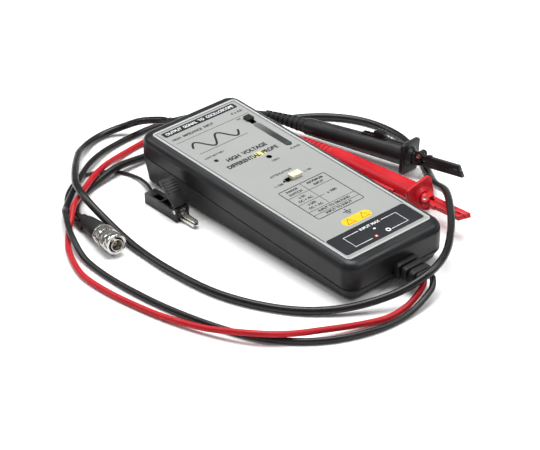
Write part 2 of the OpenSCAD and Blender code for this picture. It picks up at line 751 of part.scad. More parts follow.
module probe_nose() {
    difference() {
        union() {
            rod(nose_r, guard_x - 6, jaw_x - 2);
            for (side = [-1, 1]) translate([jaw_x - 4, side * 2.9 - 0.7, -1]) cube([4, 1.4, 4.6]);
            for (side = [-1, 1]) translate([jaw_x, side * 2.9 + 0.7, jaw_z]) rotate([90, 0, 0])
                cylinder(r = 2.6, h = 1.4);
            translate([jaw_x - 5.4, -jaw_w / 2, -3.9]) cube([probe_len - jaw_x + 5.4, jaw_w, 3.5]);
            for (side = [-1, 1]) translate([jaw_x - 4, side * 2.9 - 0.7, -3.4]) cube([5, 1.4, 4]);
            translate([jaw_x - 4, -3.6, -3.6]) cube([4, 7.2, 1.6]);
        }
        rod(rod_r + 0.1, guard_x - 7, jaw_x - 3.5);
        translate([jaw_x - 4.2, -2.1, -1.8]) cube([8, 4.2, 12]);
        translate([jaw_x, 10, jaw_z]) rotate([90, 0, 0]) cylinder(r = 1.05, h = 20);
        // the slanted tip
        translate([probe_len, -5, -4.2]) rotate([0, -28, 0]) cube([8, 10, 12]);
    }
}

module probe_jaw() {
    difference() {
        union() {
            translate([jaw_x, jaw_w / 2, jaw_z]) rotate([90, 0, 0]) cylinder(r = 2.5, h = jaw_w);
            translate([jaw_x, -jaw_w / 2, 0]) cube([probe_len - jaw_x, jaw_w, 3.5]);
            translate([jaw_x + 5, -jaw_w / 2, 3.4]) cube([3, jaw_w, 1]);
        }
        translate([jaw_x, 10, jaw_z]) rotate([90, 0, 0]) cylinder(r = 1.05, h = 20);
        translate([probe_len, -5, -4.2]) rotate([0, -28, 0]) cube([8, 10, 12]);
        translate([probe_len - 8, -5, -0.1]) cube([3, 10, 0.9]);
    }
}

module probe_jaw_pin() {
    translate([jaw_x, 4.2, jaw_z]) rotate([90, 0, 0]) {
        cylinder(r = 1, h = 8.4);
        cylinder(r = 1.6, h = 0.55);
        translate([0, 0, 7.85]) cylinder(r = 1.6, h = 0.55);
    }
}

module probe_spring() {
    translate([boot_len + 3.4, 0, 0]) coil_spring(2.9, 0.7, 62 - boot_len - 4, 7);
}

module red_tail_boot() {
    color("#b3141c") on_probe(red_at, red_turn) probe_tail_boot();
}
module red_barrel() {
    color("#c01722") on_probe(red_at, red_turn) probe_barrel();
}
module red_guard() {
    color("#c01722") on_probe(red_at, red_turn) probe_guard();
}
module red_thumb_slider() {
    color("#b3141c") on_probe(red_at, red_turn) probe_thumb_slider();
}
module red_nose() {
    color("#c01722") on_probe(red_at, red_turn) probe_nose();
}
module red_jaw() {
    color("#c01722") on_probe(red_at, red_turn) probe_jaw();
}
module red_jaw_pin() {
    color("silver") on_probe(red_at, red_turn) probe_jaw_pin();
}
module red_spring() {
    color("silver") on_probe(red_at, red_turn) probe_spring();
}

module black_tail_boot() {
    color("#1c1c1e") on_probe(black_at, black_turn) probe_tail_boot();
}
module black_barrel() {
    color("#232326") on_probe(black_at, black_turn) probe_barrel();
}
module black_guard() {
    color("#232326") on_probe(black_at, black_turn) probe_guard();
}
module black_thumb_slider() {
    color("#1c1c1e") on_probe(black_at, black_turn) probe_thumb_slider();
}
module black_nose() {
    color("#232326") on_probe(black_at, black_turn) probe_nose();
}
module black_jaw() {
    color("#232326") on_probe(black_at, black_turn) probe_jaw();
}
module black_jaw_pin() {
    color("silver") on_probe(black_at, black_turn) probe_jaw_pin();
}
module black_spring() {
    color("silver") on_probe(black_at, black_turn) probe_spring();
}

top_shell();
bottom_shell();
front_label();
battery_door();
door_screw();
case_screws();
rubber_feet();
battery_cells();
battery_contacts();
circuit_board();
divider_resistors();
shield_can();
amplifier_chips();
power_switch();
power_knob();
range_switch();
range_knob();
power_led();
status_led();
offset_trimmer();
trimmer_rotor();
input_gland();
output_gland();
coax_cord();
red_lead();
black_lead();
ground_wire();
bnc_boot();
bnc_body();
bnc_insulator();
bnc_pin();
bnc_nut();
clip_body();
clip_jaw();
clip_lever();
clip_lever_jaw();
clip_pin();
clip_spring();
red_tail_boot();
red_barrel();
red_guard();
red_thumb_slider();
red_nose();
red_jaw();
red_jaw_pin();
red_spring();
black_tail_boot();
black_barrel();
black_guard();
black_thumb_slider();
black_nose();
black_jaw();
black_jaw_pin();
black_spring();
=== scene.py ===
import math
import bmesh
import bpy
from mathutils import Matrix, Vector


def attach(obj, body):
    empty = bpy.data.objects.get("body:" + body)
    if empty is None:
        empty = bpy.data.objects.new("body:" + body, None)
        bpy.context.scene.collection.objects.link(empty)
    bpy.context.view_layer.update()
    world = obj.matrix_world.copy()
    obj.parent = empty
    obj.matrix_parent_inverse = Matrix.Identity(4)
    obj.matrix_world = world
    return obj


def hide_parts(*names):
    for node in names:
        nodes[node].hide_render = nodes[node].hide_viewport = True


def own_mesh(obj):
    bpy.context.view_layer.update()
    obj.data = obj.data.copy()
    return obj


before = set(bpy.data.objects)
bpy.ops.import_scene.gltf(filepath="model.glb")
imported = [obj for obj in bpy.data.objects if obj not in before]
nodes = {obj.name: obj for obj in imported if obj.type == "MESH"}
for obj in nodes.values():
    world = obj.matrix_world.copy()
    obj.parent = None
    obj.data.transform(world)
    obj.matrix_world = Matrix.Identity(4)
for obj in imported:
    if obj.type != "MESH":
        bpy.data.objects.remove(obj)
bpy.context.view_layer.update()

# Differential probe kit: panelled box, coax with BNC plug, two clip-on probes, ground clip.
# Sizes are written in millimetres and scaled by mm on the way into Blender.
mm = 0.001


def addPiece(bm, name, finish, body="case", smooth=True):
    mesh = bpy.data.meshes.new(name)
    bm.to_mesh(mesh)
    bm.free()
    for polygon in mesh.polygons:
        polygon.use_smooth = smooth
    mesh.materials.append(finish)
    obj = bpy.data.objects.new(name, mesh)
    bpy.context.scene.collection.objects.link(obj)
    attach(obj, body)
    return obj


def addModifier(obj, kind, **values):
    modifier = obj.modifiers.new(kind.lower(), kind)
    for key, value in values.items():
        setattr(modifier, key, value)
    return modifier


# ---- camera ----

viewSettings = {
    "azimuth": 47.71,
    "elevation": 32.23,
    "distance": 1466,
    "target": (-2.5, -13.3, 0),
    "lens": 152.2,
}


def makeCamera(s):
    a, e = math.radians(s["azimuth"]), math.radians(s["elevation"])
    back = Vector((math.sin(a) * math.cos(e), -math.cos(a) * math.cos(e), math.sin(e)))
    data = bpy.data.cameras.new("camera")
    data.lens = s["lens"]
    data.sensor_width = 36
    data.clip_start, data.clip_end = 0.1, 20
    camera = bpy.data.objects.new("camera", data)
    camera.location = (Vector(s["target"]) + back * s["distance"]) * mm
    camera.rotation_euler = (-back).to_track_quat("-Z", "Y").to_euler()
    bpy.context.scene.collection.objects.link(camera)
    bpy.context.scene.camera = camera


makeCamera(viewSettings)
print("camera is set")


# ---- shader helpers ----

def newGroup(name, inputs, outputs):
    group = bpy.data.node_groups.new(name, "ShaderNodeTree")
    for label, kind, value in inputs:
        socket = group.interface.new_socket(label, in_out="INPUT", socket_type="NodeSocket" + kind)
        socket.default_value = value
    for label, kind in outputs:
        group.interface.new_socket(label, in_out="OUTPUT", socket_type="NodeSocket" + kind)
    return group


class NodeDesk:
    # places nodes in rows and wires them; inputs are given by name or by number

    def __init__(self, tree):
        self.tree = tree
        self.placed = 0

    def put(self, kind, sockets=None, **settings):
        node = self.tree.nodes.new("ShaderNode" + kind if kind[:4] != "Node" else kind)
        node.location = (230 * (self.placed % 7), -280 * (self.placed // 7))
        self.placed += 1
        for key, value in settings.items():
            setattr(node, key, value)
        for key, value in (sockets or {}).items():
            if isinstance(value, bpy.types.NodeSocket):
                self.tree.links.new(value, node.inputs[key])
            else:
                node.inputs[key].default_value = value
        return node

    def calc(self, operation, a, b=0.0, clamp=False):
        return self.put("Math", {0: a, 1: b}, operation=operation, use_clamp=clamp).outputs[0]

    def remap(self, value, low, high, toLow=0.0, toHigh=1.0):
        return self.put("MapRange", {"Value": value, "From Min": low, "From Max": high,
                                     "To Min": toLow, "To Max": toHigh}).outputs[0]

    def noise(self, place, scale, detail):
        return self.put("TexNoise", {"Vector": place, "Scale": scale, "Detail": detail}).outputs["Fac"]

    def blend(self, factor, a, b):
        return self.put("Mix", {0: factor, 6: a, 7: b}, data_type="RGBA").outputs[2]

    def out(self, **values):
        end = self.put("NodeGroupOutput")
        for key, value in values.items():
            self.tree.links.new(value, end.inputs[key])


def rgb(*values):
    return (*values, 1.0)


# moulded plastic: slow colour drift, fine texture, uneven gloss
def makeMouldGrain():
    group = newGroup("mouldGrain", [
        ("Colour", "Color", rgb(0.03, 0.03, 0.03)), ("Drift", "Color", rgb(0.05, 0.05, 0.05)),
        ("Grain Scale", "Float", 1500.0), ("Low Gloss", "Float", 0.6), ("High Gloss", "Float", 0.4)],
        [("Colour", "Color"), ("Roughness", "Float"), ("Height", "Float")])
    desk = NodeDesk(group)
    source = desk.put("NodeGroupInput").outputs
    place = desk.put("TexCoord").outputs["Object"]
    cloud = desk.noise(place, 38.0, 3.0)
    grain = desk.noise(place, source["Grain Scale"], 3.0)
    cells = desk.put("TexVoronoi", {"Vector": place, "Scale": source["Grain Scale"]}).outputs["Distance"]
    height = desk.calc("MULTIPLY_ADD", cells, 0.5)
    desk.tree.links.new(grain, height.node.inputs[2])
    speck = desk.remap(grain, 0.35, 0.7, 0.0, 0.35)
    drift = desk.calc("ADD", desk.remap(cloud, 0.36, 0.66, 0.0, 0.75), speck, clamp=True)
    gloss = desk.put("MapRange", {"Value": cloud, "From Min": 0.35, "From Max": 0.65,
                                  "To Min": source["High Gloss"], "To Max": source["Low Gloss"]}).outputs[0]
    colour = desk.blend(drift, source["Colour"], source["Drift"])
    desk.out(Colour=colour, Roughness=gloss, Height=height)
    return group


# rubbed edges, where the mesh turns a corner, broken up by noise
def makeEdgeWear():
    group = newGroup("edgeWear", [("Amount", "Float", 0.4), ("Break Up", "Float", 160.0)],
                     [("Mask", "Float")])
    desk = NodeDesk(group)
    source = desk.put("NodeGroupInput").outputs
    place = desk.put("TexCoord").outputs["Object"]
    edge = desk.remap(desk.put("NewGeometry").outputs["Pointiness"], 0.51, 0.6)
    patch = desk.noise(place, source["Break Up"], 4.0)
    rubbed = desk.calc("MULTIPLY", edge, desk.remap(patch, 0.4, 0.65))
    desk.out(Mask=desk.calc("MULTIPLY", rubbed, source["Amount"], clamp=True))
    return group


# light dust that settles on faces that look up
def makeDustFilm():
    group = newGroup("dustFilm", [("Amount", "Float", 0.1), ("Patch Scale", "Float", 60.0)],
                     [("Mask", "Float")])
    desk = NodeDesk(group)
    source = desk.put("NodeGroupInput").outputs
    place = desk.put("TexCoord").outputs["Object"]
    upward = desk.put("SeparateXYZ", {0: desk.put("NewGeometry").outputs["Normal"]}).outputs["Z"]
    patch = desk.noise(place, source["Patch Scale"], 5.0)
    speck = desk.noise(place, 2600.0, 1.0)
    cover = desk.calc("MULTIPLY", desk.remap(upward, 0.1, 0.95), desk.remap(patch, 0.35, 0.7))
    cover = desk.calc("MULTIPLY", cover, desk.remap(speck, 0.45, 0.6, 0.35, 1.0))
    desk.out(Mask=desk.calc("MULTIPLY", cover, source["Amount"], clamp=True))
    return group


# brushed or drawn marks, stretched along one axis
def makeBrushMarks():
    group = newGroup("brushMarks", [("Stretch", "Vector", (30.0, 1500.0, 1500.0)), ("Low", "Float", 0.2),
                                    ("High", "Float", 0.4)], [("Roughness", "Float"), ("Height", "Float")])
    desk = NodeDesk(group)
    source = desk.put("NodeGroupInput").outputs
    place = desk.put("TexCoord").outputs["Object"]
    pulled = desk.put("VectorMath", {0: place, 1: source["Stretch"]}, operation="MULTIPLY").outputs[0]
    marks = desk.noise(pulled, 1.0, 3.0)
    rough = desk.put("MapRange", {"Value": marks, "From Min": 0.3, "From Max": 0.7,
                                  "To Min": source["Low"], "To Max": source["High"]}).outputs[0]
    desk.out(Roughness=rough, Height=marks)
    return group


effects = {"grain": makeMouldGrain(), "wear": makeEdgeWear(), "dust": makeDustFilm(),
           "brush": makeBrushMarks()}


def startFinish(name):
    material = bpy.data.materials.new(name)
    material.use_nodes = True
    material.node_tree.nodes.clear()
    desk = NodeDesk(material.node_tree)
    shader = desk.put("BsdfPrincipled")
    end = desk.put("OutputMaterial", {"Surface": shader.outputs[0]})
    end.location = (400, 300)
    return material, desk, shader


def useEffect(desk, name, sockets):
    node = desk.put("Group")
    node.node_tree = effects[name]
    for key, value in sockets.items():
        if isinstance(value, bpy.types.NodeSocket):
            desk.tree.links.new(value, node.inputs[key])
        else:
            node.inputs[key].default_value = value
    return node


def setShader(shader, values):
    for key, value in values.items():
        shader.inputs[key].default_value = value


def addBump(desk, shader, height, strength, distance):
    bump = desk.put("Bump", {"Height": height, "Strength": strength, "Distance": distance})
    desk.tree.links.new(bump.outputs[0], shader.inputs["Normal"])


# one recipe covers every moulded, rubber and jacket finish
def plasticFinish(name, s):
    material, desk, shader = startFinish(name)
    grain = useEffect(desk, "grain", {"Colour": rgb(*s["colour"]), "Drift": rgb(*s["drift"]),
                                      "Grain Scale": s.get("grain", 1500.0),
                                      "Low Gloss": s["rough"][1], "High Gloss": s["rough"][0]})
    wear = useEffect(desk, "wear", {"Amount": s.get("wear", 0.3), "Break Up": 170.0})
    dust = useEffect(desk, "dust", {"Amount": s.get("dust", 0.08), "Patch Scale": 55.0})
    worn = desk.blend(wear.outputs["Mask"], grain.outputs["Colour"], rgb(*s.get("worn", s["drift"])))
    colour = desk.blend(dust.outputs["Mask"], worn, rgb(0.3, 0.295, 0.28))
    rough = desk.calc("ADD", grain.outputs["Roughness"],
                      desk.calc("MULTIPLY", dust.outputs["Mask"], 0.5), clamp=True)
    desk.tree.links.new(colour, shader.inputs["Base Color"])
    desk.tree.links.new(rough, shader.inputs["Roughness"])
    addBump(desk, shader, grain.outputs["Height"], s.get("bump", 0.25), 0.06 * mm)
    setShader(shader, {"Specular IOR Level": s.get("specular", 0.24), **s.get("shader", {})})
    return material


def metalFinish(name, s):
    material, desk, shader = startFinish(name)
    brush = useEffect(desk, "brush", {"Low": s["rough"][0], "High": s["rough"][1]})
    wear = useEffect(desk, "wear", {"Amount": 0.5, "Break Up": 300.0})
    place = desk.put("TexCoord").outputs["Object"]
    cloud = desk.noise(place, 240.0, 4.0)
    tone = desk.blend(desk.remap(cloud, 0.35, 0.68), rgb(*s["colour"]), rgb(*s["dull"]))
    colour = desk.blend(wear.outputs["Mask"], tone, rgb(*s["colour"]))
    desk.tree.links.new(colour, shader.inputs["Base Color"])
    desk.tree.links.new(brush.outputs["Roughness"], shader.inputs["Roughness"])
    addBump(desk, shader, brush.outputs["Height"], 0.12, 0.03 * mm)
    setShader(shader, {"Metallic": 1.0})
    return material


plasticRecipes = {
    "caseUpper": {"colour": (0.006, 0.0065, 0.008), "drift": (0.010, 0.0105, 0.012), "grain": 2600.0,
                  "rough": (0.34, 0.44), "bump": 0.1, "worn": (0.03, 0.03, 0.034), "specular": 0.3,
                  "dust": 0.02},
    # the lower shell's colour is lighter than the upper shell's: partly its own greyer, grainier plastic,
    # partly painted light standing in for the front lighting that falls on it
    "caseLower": {"colour": (0.013, 0.0135, 0.0145), "drift": (0.019, 0.0195, 0.021), "grain": 1900.0,
                  "rough": (0.5, 0.6), "bump": 0.3, "worn": (0.04, 0.04, 0.044), "specular": 0.3,
                  "dust": 0.03},
    "knobBlack": {"colour": (0.008, 0.008, 0.008), "drift": (0.016, 0.016, 0.016), "rough": (0.35, 0.5)},
    "knobCream": {"colour": (0.72, 0.69, 0.53), "drift": (0.8, 0.77, 0.62), "rough": (0.35, 0.5),
                  "worn": (0.5, 0.47, 0.36), "wear": 0.35, "shader": {"Subsurface Weight": 0.1,
                                                                      "Subsurface Scale": 0.001}},
    "rubberBlack": {"colour": (0.008, 0.008, 0.0085), "drift": (0.016, 0.016, 0.0165), "grain": 1300.0,
                    "rough": (0.45, 0.6), "bump": 0.3, "worn": (0.03, 0.03, 0.03), "dust": 0.04},
    "vinylBlack": {"colour": (0.006, 0.006, 0.0065), "drift": (0.012, 0.012, 0.0125), "grain": 700.0,
                   "rough": (0.24, 0.34), "bump": 0.12, "dust": 0.02, "specular": 0.3},
    "siliconeBlack": {"colour": (0.007, 0.007, 0.0075), "drift": (0.014, 0.014, 0.0145), "grain": 900.0,
                      "rough": (0.28, 0.4), "bump": 0.12, "dust": 0.02, "specular": 0.28},
    "siliconeRed": {"colour": (0.38, 0.004, 0.01), "drift": (0.46, 0.008, 0.016), "grain": 900.0,
                    "rough": (0.34, 0.48), "bump": 0.15, "worn": (0.66, 0.05, 0.05), "dust": 0.04,
                    "shader": {"Subsurface Weight": 0.08, "Subsurface Scale": 0.0015}},
    "probeBlack": {"colour": (0.007, 0.007, 0.008), "drift": (0.013, 0.013, 0.0145), "grain": 1200.0,
                   "rough": (0.28, 0.4), "bump": 0.12, "worn": (0.05, 0.05, 0.055)},
    "probeRed": {"colour": (0.44, 0.004, 0.01), "drift": (0.53, 0.009, 0.018), "grain": 1200.0,
                 "rough": (0.3, 0.42), "bump": 0.12, "worn": (0.7, 0.08, 0.08), "dust": 0.03,
                 "shader": {"Subsurface Weight": 0.06, "Subsurface Scale": 0.0015}},
    "bootRed": {"colour": (0.42, 0.005, 0.01), "drift": (0.52, 0.01, 0.016), "grain": 1300.0,
                "rough": (0.45, 0.6), "bump": 0.3, "worn": (0.6, 0.06, 0.06)},
    "clipPlastic": {"colour": (0.009, 0.009, 0.01), "drift": (0.02, 0.02, 0.021), "grain": 1400.0,
                    "rough": (0.35, 0.5), "bump": 0.2, "worn": (0.07, 0.07, 0.07), "wear": 0.5},
    "insulator": {"colour": (0.82, 0.82, 0.78), "drift": (0.88, 0.88, 0.85), "rough": (0.35, 0.45)},
    "cellWrap": {"colour": (0.06, 0.16, 0.33), "drift": (0.08, 0.2, 0.4), "grain": 500.0, "rough": (0.2, 0.3),
                 "shader": {"Coat Weight": 0.3, "Coat Roughness": 0.15}},
    "solderMask": {"colour": (0.012, 0.11, 0.035), "drift": (0.02, 0.16, 0.05), "grain": 700.0,
                   "rough": (0.25, 0.35), "shader": {"Coat Weight": 0.3, "Coat Roughness": 0.2}},
    "resistorBlue": {"colour": (0.05, 0.15, 0.42), "drift": (0.07, 0.2, 0.5), "rough": (0.25, 0.35)},
    "chipEpoxy": {"colour": (0.014, 0.014, 0.015), "drift": (0.024, 0.024, 0.025), "rough": (0.55, 0.7)},
    "lensGreen": {"colour": (0.03, 0.09, 0.05), "drift": (0.04, 0.12, 0.07), "rough": (0.12, 0.2),
                  "shader": {"Transmission Weight": 0.35, "Coat Weight": 0.4}},
    "lensRed": {"colour": (0.03, 0.008, 0.008), "drift": (0.045, 0.01, 0.01), "rough": (0.12, 0.2),
                "shader": {"Transmission Weight": 0.3, "Coat Weight": 0.4}},
}
metalRecipes = {
    "nickel": {"colour": (0.62, 0.61, 0.58), "dull": (0.42, 0.41, 0.39), "rough": (0.12, 0.26)},
    "tinnedSteel": {"colour": (0.66, 0.64, 0.6), "dull": (0.42, 0.40, 0.37), "rough": (0.2, 0.38)},
    "springSteel": {"colour": (0.55, 0.55, 0.54), "dull": (0.36, 0.36, 0.35), "rough": (0.18, 0.3)},
    "zincScrew": {"colour": (0.6, 0.6, 0.58), "dull": (0.4, 0.4, 0.4), "rough": (0.25, 0.4)},
    "tinPlate": {"colour": (0.66, 0.66, 0.64), "dull": (0.5, 0.5, 0.48), "rough": (0.25, 0.42)},
    "brass": {"colour": (0.72, 0.5, 0.2), "dull": (0.5, 0.34, 0.13), "rough": (0.18, 0.32)},
}
finish = {key: plasticFinish(key, recipe) for key, recipe in plasticRecipes.items()}
finish.update({key: metalFinish(key, recipe) for key, recipe in metalRecipes.items()})
print("finishes are made:", len(finish))


# ---- cords ----

# centre lines in millimetres, from the box outwards: the same points as the solids'
routes = {
    "coaxCord": [
        (-123.6, 5, 18.2), (-131, 4.5, 16.6), (-145, -2.2, 12.5), (-155.8, -8, 6.4), (-161.8, -24, 2.6),
        (-156, -42, 4), (-144, -58, 8), (-112, -85, 13.4), (-94, -92, 12.4), (-68, -94, 6.4),
        (-36, -96.4, 2.6), (2, -97, 2.6), (42, -91, 2.6), (78, -73, 2.6), (101, -50, 4),
        (117, -22, 9.5), (123, 1, 16.4), (118, 22, 19.6), (102, 44, 21.2), (84, 62, 22), (66, 77, 19),
        (44, 90, 10), (24, 105, 3.6), (2, 117, 2.6), (-26, 126, 2.6), (-58, 121, 2.6), (-84, 100, 2.6),
        (-102, 64, 2.6), (-114, 24, 2.6), (-118, -14, 3), (-118, -46, 5.1), (-113, -72, 2.6),
        (-105, -88, 2.6), (-91.2, -100.6, 3.6), (-83, -102, 4.4)],
    "blackLead": [
        (118.1, 8, 11.5), (122.5, 7.3, 11.1), (127.4, 0.6, 7.6), (131, -24, 2.1), (128, -52, 2.1),
        (115, -80, 2.1), (91, -103, 2.1), (56, -118, 2.1), (7, -128, 2.1), (-43, -129, 2.3),
        (-70, -121.5, 6.6), (-91, -110, 8.6), (-100, -103, 5.4), (-122, -75, 5), (-136, -53, 4.6),
        (-146, -26, 2.1), (-147, 16, 2.1), (-136, 47, 2.8), (-119, 64, 5.5), (-99.5, 71.5, 9)],
    "redLead": [
        (118.1, 1, 11.5), (121.8, 0.4, 11.2), (124, -6.2, 7.3), (124.8, -18, 2.6), (124, -38, 2.1),
        (108, -82, 5.8), (99, -98, 6.9), (84, -111.5, 6.6), (58, -125, 3.6), (20, -136, 2.1),
        (-30, -141, 2.1), (-60, -131, 2.1), (-81, -115.5, 2.2), (-87.5, -108, 5), (-93.4, -101.6, 8.8),
        (-101, -91.5, 7.8), (-113, -72, 8), (-122, -54, 7.2), (-133, -28, 2.2), (-136, 4, 2.1),
        (-129, 28, 4), (-114, 47, 8), (-95, 60, 7.4), (-72, 70, 4.5), (-62, 70, 5)],
    "groundWire": [
        (-83.8, -106.2, 2.8), (-89.5, -104.8, 1.3), (-101, -100.5, 1.2), (-116, -90, 1.2),
        (-126, -76, 1.2), (-129, -60, 1.2), (-119, -45.4, 1.15), (-104.5, -40.6, 1.8), (-90, -43.4, 4),
        (-77.6, -48.8, 5.2)],
}


# a smooth Bezier through the points, with handles a third of the way along each tangent
def makeCord(name, points, diameter, finishName, node):
    curve = bpy.data.curves.new(name, "CURVE")
    curve.dimensions = "3D"
    curve.bevel_depth = diameter / 2 * mm
    curve.bevel_resolution = 6
    curve.resolution_u = 10
    curve.use_fill_caps = True
    spline = curve.splines.new("BEZIER")
    spline.bezier_points.add(len(points) - 1)
    line = [Vector(p) * mm for p in points]
    for i, point in enumerate(spline.bezier_points):
        before, after = line[max(i - 1, 0)], line[min(i + 1, len(line) - 1)]
        slope = (after - before).normalized()
        point.co = line[i]
        point.handle_left_type = point.handle_right_type = "FREE"
        point.handle_left = line[i] - slope * (line[i] - before).length / 3
        point.handle_right = line[i] + slope * (after - line[i]).length / 3
    obj = bpy.data.objects.new(name, curve)
    obj.data.materials.append(finish[finishName])
    bpy.context.scene.collection.objects.link(obj)
    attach(obj, "case")
    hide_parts(node)
    return obj


def bezierLength(obj):
    total = 0.0
    points = obj.data.splines[0].bezier_points
    for a, b in zip(points, points[1:]):
        last = a.co
        for k in range(1, 13):
            t = k / 12
            here = ((1 - t) ** 3 * a.co + 3 * (1 - t) ** 2 * t * a.handle_right
                    + 3 * (1 - t) * t * t * b.handle_left + t ** 3 * b.co)
            total += (here - last).length
            last = here
    return total


# the coil under the clip's lever: a copy of the CAD's spring with its own steel finish
coilSettings = {"node": "clip_spring", "joint": "clip_squeeze", "keep": 0.5}


def makeClipCoil(s):
    mesh = nodes[s["node"]].data.copy()
    mesh.materials.clear()
    mesh.materials.append(finish["springSteel"])
    for polygon in mesh.polygons:
        polygon.use_smooth = True
        polygon.material_index = 0
    obj = bpy.data.objects.new("clipCoil", mesh)
    bpy.context.scene.collection.objects.link(obj)
    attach(obj, "case")
    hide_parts(s["node"])
    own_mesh(obj)
    return obj


clipCoil = makeClipCoil(coilSettings)
cordSettings = [
    {"name": "coaxCord", "diameter": 5.0, "finish": "vinylBlack", "node": "coax_cord",
     "farEnd": "plug", "slot": "coax_jacket", "stiffness": "medium",
     "with": ["bnc_boot", "bnc_body", "bnc_insulator", "bnc_pin", "bnc_nut"]},
    {"name": "blackLead", "diameter": 4.0, "finish": "siliconeBlack", "node": "black_lead",
     "farEnd": "object", "slot": "black_lead_jacket", "stiffness": "limp", "with": []},
    {"name": "redLead", "diameter": 4.0, "finish": "siliconeRed", "node": "red_lead", "farEnd": "object",
     "slot": "red_lead_jacket", "stiffness": "limp", "with": []},
    {"name": "groundWire", "diameter": 2.2, "finish": "siliconeBlack", "node": "ground_wire",
     "farEnd": "connector", "slot": "black_lead_jacket", "stiffness": "limp",
     "with": ["clip_body", "clip_jaw", "clip_lever", "clip_lever_jaw", "clip_pin"], "alsoWith": [clipCoil]},
]
for s in cordSettings:
    piece = makeCord(s["name"], routes[s["name"]], s["diameter"], s["finish"], s["node"])
    print(s["name"], "is", round(bezierLength(piece), 3), "m long")


# ---- box shells ----

boxSettings = {
    "length": 202, "width": 83, "corner": 10, "shoulder": 6, "wall": 2.4,
    "topMid": 33, "topFall": 9, "partMid": 17, "partFall": 13,
    "footHeight": 1.5, "bottomInset": 3, "bottomEdge": 3, "cornerSteps": 12, "shoulderSteps": 12,
    "recess": [(93.25, 36.25, 3.2, 0), (93.1, 36.1, 3.1, 0.12), (93.1, 36.1, 3.1, 0.4)],
    "screws": [(-90, 34), (-90, -34), (88, 31), (88, -31)],
    "feet": [(-77, 32), (-77, -32), (72, 29), (72, -29)],
}


def topZ(x):
    return boxSettings["topMid"] - x * boxSettings["topFall"] / boxSettings["length"]


def partZ(x):
    return boxSettings["partMid"] - x * boxSettings["partFall"] / boxSettings["length"]


# a rounded rectangle of points; height(x) gives the level at each one
def roundedLoop(bm, halfX, halfY, radius, height, steps):
    loop = []
    for quarter, (sx, sy) in enumerate([(1, 1), (-1, 1), (-1, -1), (1, -1)]):
        for k in range(steps + 1):
            angle = math.pi / 2 * (quarter + k / steps)
            x = sx * (halfX - radius) + radius * math.cos(angle)
            y = sy * (halfY - radius) + radius * math.sin(angle)
            loop.append(bm.verts.new((x * mm, y * mm, height(x) * mm)))
    return loop


def joinLoops(bm, loops):
    for low, high in zip(loops, loops[1:]):
        for i in range(len(low)):
            j = (i + 1) % len(low)
            bm.faces.new((low[i], low[j], high[j], high[i]))


def cutBoxes(obj, boxes, cylinders=(), lean=None):
    cutter = bmesh.new()
    for centre, size in boxes:
        made = bmesh.ops.create_cube(cutter, size=1)["verts"]
        for vertex in made:
            vertex.co = Vector([centre[i] + vertex.co[i] * size[i] for i in range(3)])
    for centre, radius, depth in cylinders:
        bmesh.ops.create_cone(cutter, cap_ends=True, segments=40, radius1=radius, radius2=radius, depth=depth,
                              matrix=Matrix.Translation(centre))
    if lean:
        cutter.transform(lean)
    cutter.transform(Matrix.Scale(mm, 4))
    mesh = bpy.data.meshes.new("cutter")
    cutter.to_mesh(mesh)
    cutter.free()
    tool = bpy.data.objects.new("cutter", mesh)
    bpy.context.scene.collection.objects.link(tool)
    addModifier(obj, "BOOLEAN", object=tool, operation="DIFFERENCE", solver="EXACT", use_self=True)
    bpy.context.view_layer.update()
    carved = bpy.data.meshes.new_from_object(obj.evaluated_get(bpy.context.evaluated_depsgraph_get()))
    obj.modifiers.clear()
    obj.data = carved
    bpy.data.objects.remove(tool)


panelLean = Matrix.Translation((0, 0, boxSettings["topMid"])) @ Matrix.Rotation(
    math.atan(boxSettings["topFall"] / boxSettings["length"]), 4, "Y")
powerSlot = {"at": (-64.8, 26), "size": (8.4, 4.4)}
rangeSlot = {"at": (4, 0.2), "size": (4.4, 12)}
panelHoles = {"powerLed": (-29, 26), "statusLed": (-42, -24), "trimmer": (-24, 5.5)}


def makeUpperShell(s):
    bm = bmesh.new()
    halfX, halfY, r, w = s["length"] / 2, s["width"] / 2, s["corner"], s["wall"]

    def level(inset, height):
        return roundedLoop(bm, halfX - inset, halfY - inset, r - inset, height, s["cornerSteps"])

    loops = [level(w, lambda x: partZ(x) + 0.01), level(0.3, lambda x: partZ(x) + 0.01),
             level(0.08, lambda x: partZ(x) + 0.1), level(0, lambda x: partZ(x) + 0.35)]
    for k in range(s["shoulderSteps"] + 1):
        a = math.pi / 2 * k / s["shoulderSteps"]
        drop, inset = s["shoulder"] * (1 - math.sin(a)), s["shoulder"] * (1 - math.cos(a))
        loops.append(level(min(inset, 5.2), lambda x, d=drop: topZ(x) - d))
    # the shallow recess for the panel: a small bevel, then straight down
    for halfLong, halfWide, radius, depth in s["recess"]:
        loops.append(roundedLoop(bm, halfLong, halfWide, radius, lambda x, d=depth: topZ(x) - d,
                                 s["cornerSteps"]))
    joinLoops(bm, loops)
    bm.faces.new(loops[-1])
    inner = [loops[0]]
    soft = s["shoulder"] - w
    for k in range(5):
        a = math.pi / 2 * k / 4
        inner.append(level(w + soft * (1 - math.cos(a)),
                           lambda x, d=soft * (1 - math.sin(a)): topZ(x) - w - d))
    joinLoops(bm, inner)
    bm.faces.new(inner[-1])
    bmesh.ops.recalc_face_normals(bm, faces=bm.faces)
    shell = addPiece(bm, "upperShell", finish["caseUpper"])
    slots = [((*p["at"], -2), (*p["size"], 9)) for p in (powerSlot, rangeSlot)]
    holes = [((*panelHoles["powerLed"], -2), 1.6, 9), ((*panelHoles["statusLed"], -2), 1.6, 9),
             ((*panelHoles["trimmer"], -2), 2.0, 9)]
    cutBoxes(shell, slots, holes, panelLean)
    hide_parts("top_shell")
    return shell


